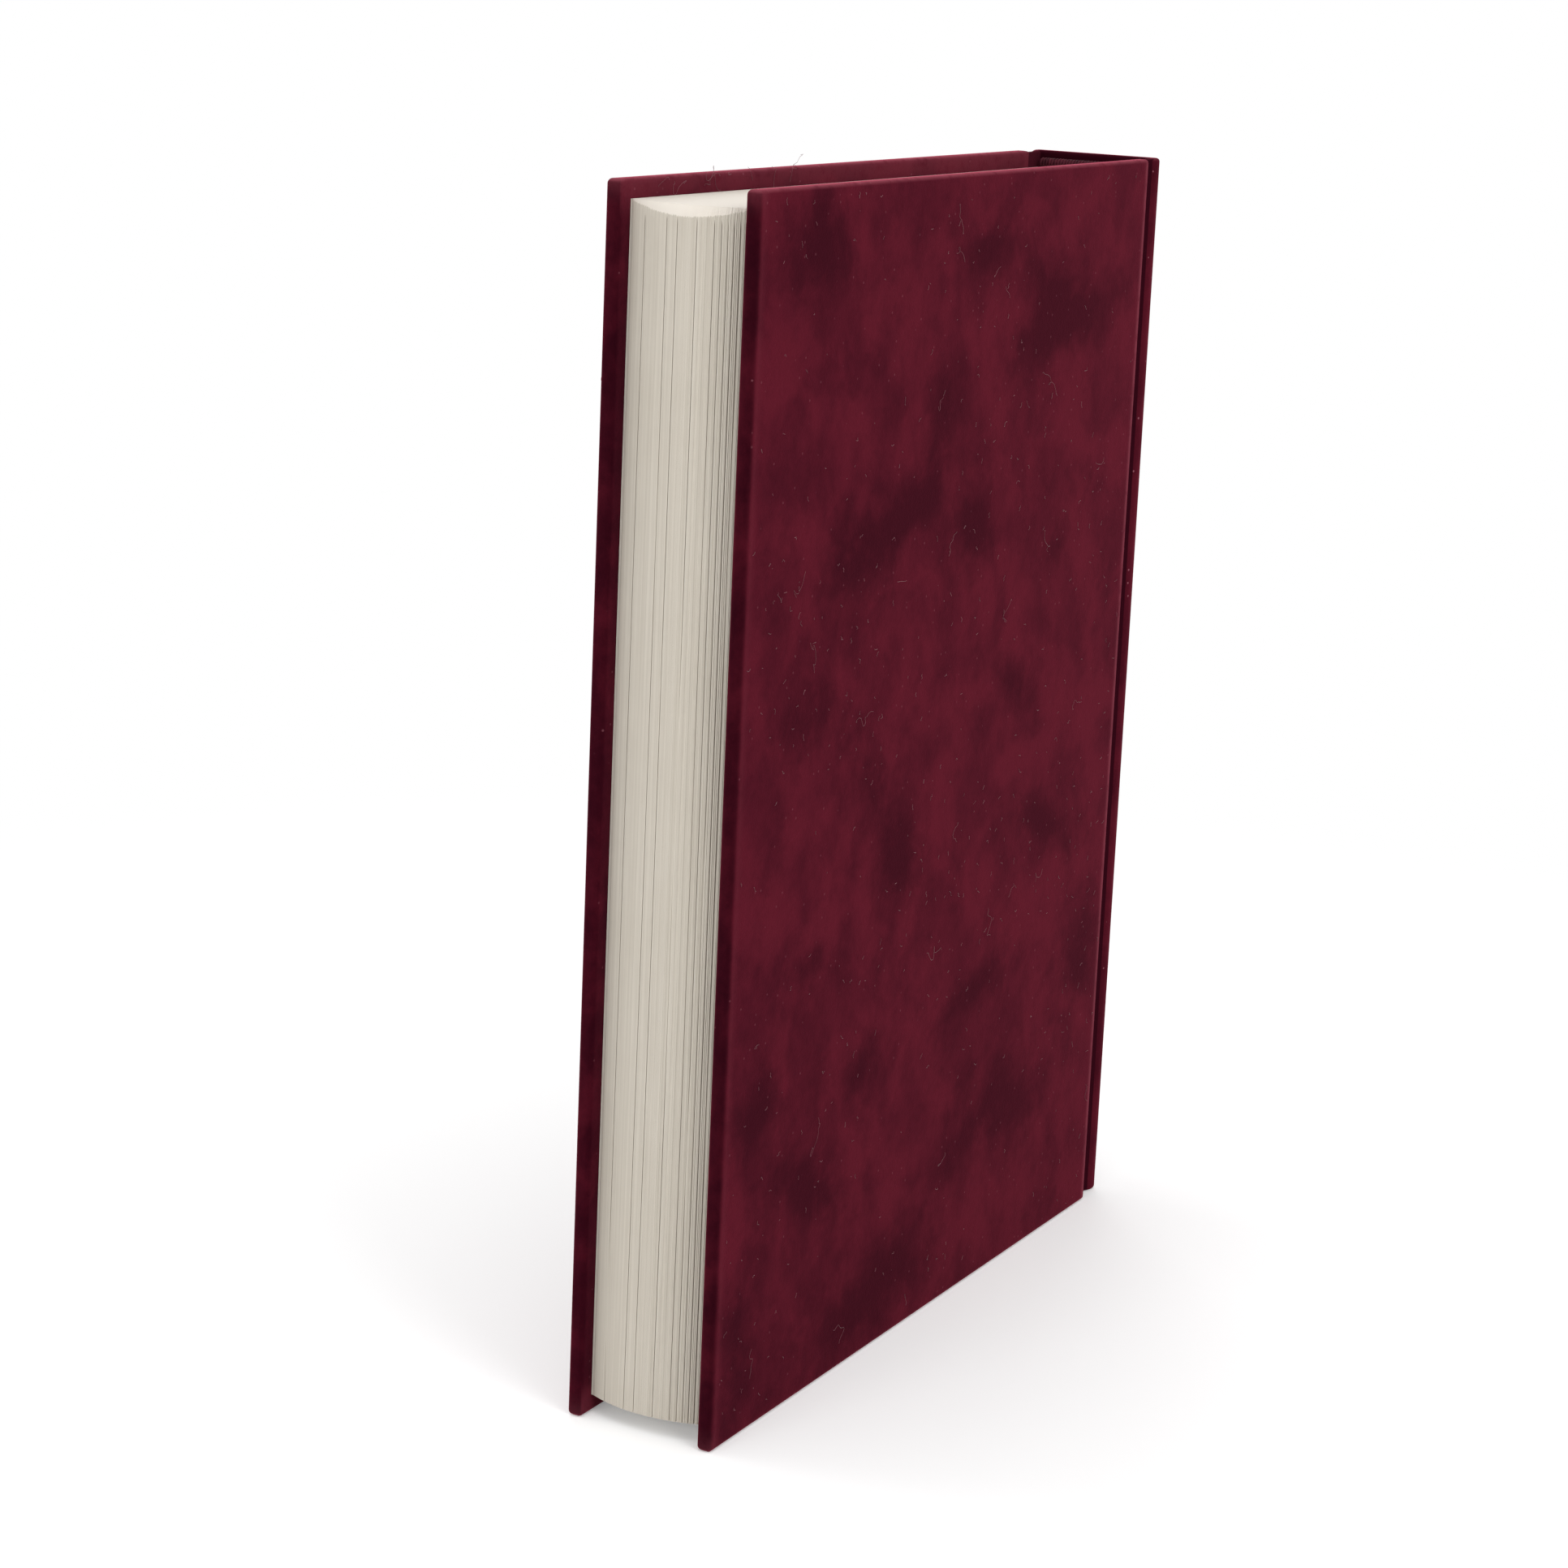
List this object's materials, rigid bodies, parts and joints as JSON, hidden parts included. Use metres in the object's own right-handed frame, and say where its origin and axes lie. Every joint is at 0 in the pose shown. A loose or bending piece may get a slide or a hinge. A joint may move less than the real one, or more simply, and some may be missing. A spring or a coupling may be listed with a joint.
{
  "type": "hardcover book",
  "caption": "Case-bound book with sewn pages, a flat back and two hinged boards, covered in dark red velvet cloth.",
  "frame": {"origin": "middle of the book's footprint, on the surface that the book stands on", "axes": "+Z from tail to head, +X towards the spine, +Y towards the front cover"},
  "size_m": [0.181, 0.0324, 0.24],
  "materials": {
    "page_paper": "uncoated",
    "end_paper": "uncoated",
    "lining": "gauze and paper",
    "band_thread": "wound thread",
    "binders_board": "matt",
    "velvet": "velvet pile"
  },
  "bodies": {
    "book_block": {"pages": "page_paper", "front_flyleaf": "end_paper", "back_flyleaf": "end_paper", "spine_lining": "lining", "headband": "band_thread", "tailband": "band_thread", "spine_board": "binders_board", "spine_cloth": "velvet"},
    "front_cover": {"front_board": "binders_board", "front_cover_cloth": "velvet", "front_pastedown": "end_paper"},
    "back_cover": {"back_board": "binders_board", "back_cover_cloth": "velvet", "back_pastedown": "end_paper"}
  },
  "joints": [
    {"name": "front_cover_hinge", "type": "hinge", "parent": "book_block", "child": "front_cover", "pos_m": [0.086, 0.01625, 0.12], "axis": [0, 0, -1], "range_deg": [0, 180]},
    {"name": "back_cover_hinge", "type": "hinge", "parent": "book_block", "child": "back_cover", "pos_m": [0.086, -0.01625, 0.12], "axis": [0, 0, 1], "range_deg": [0, 180]}
  ]
}
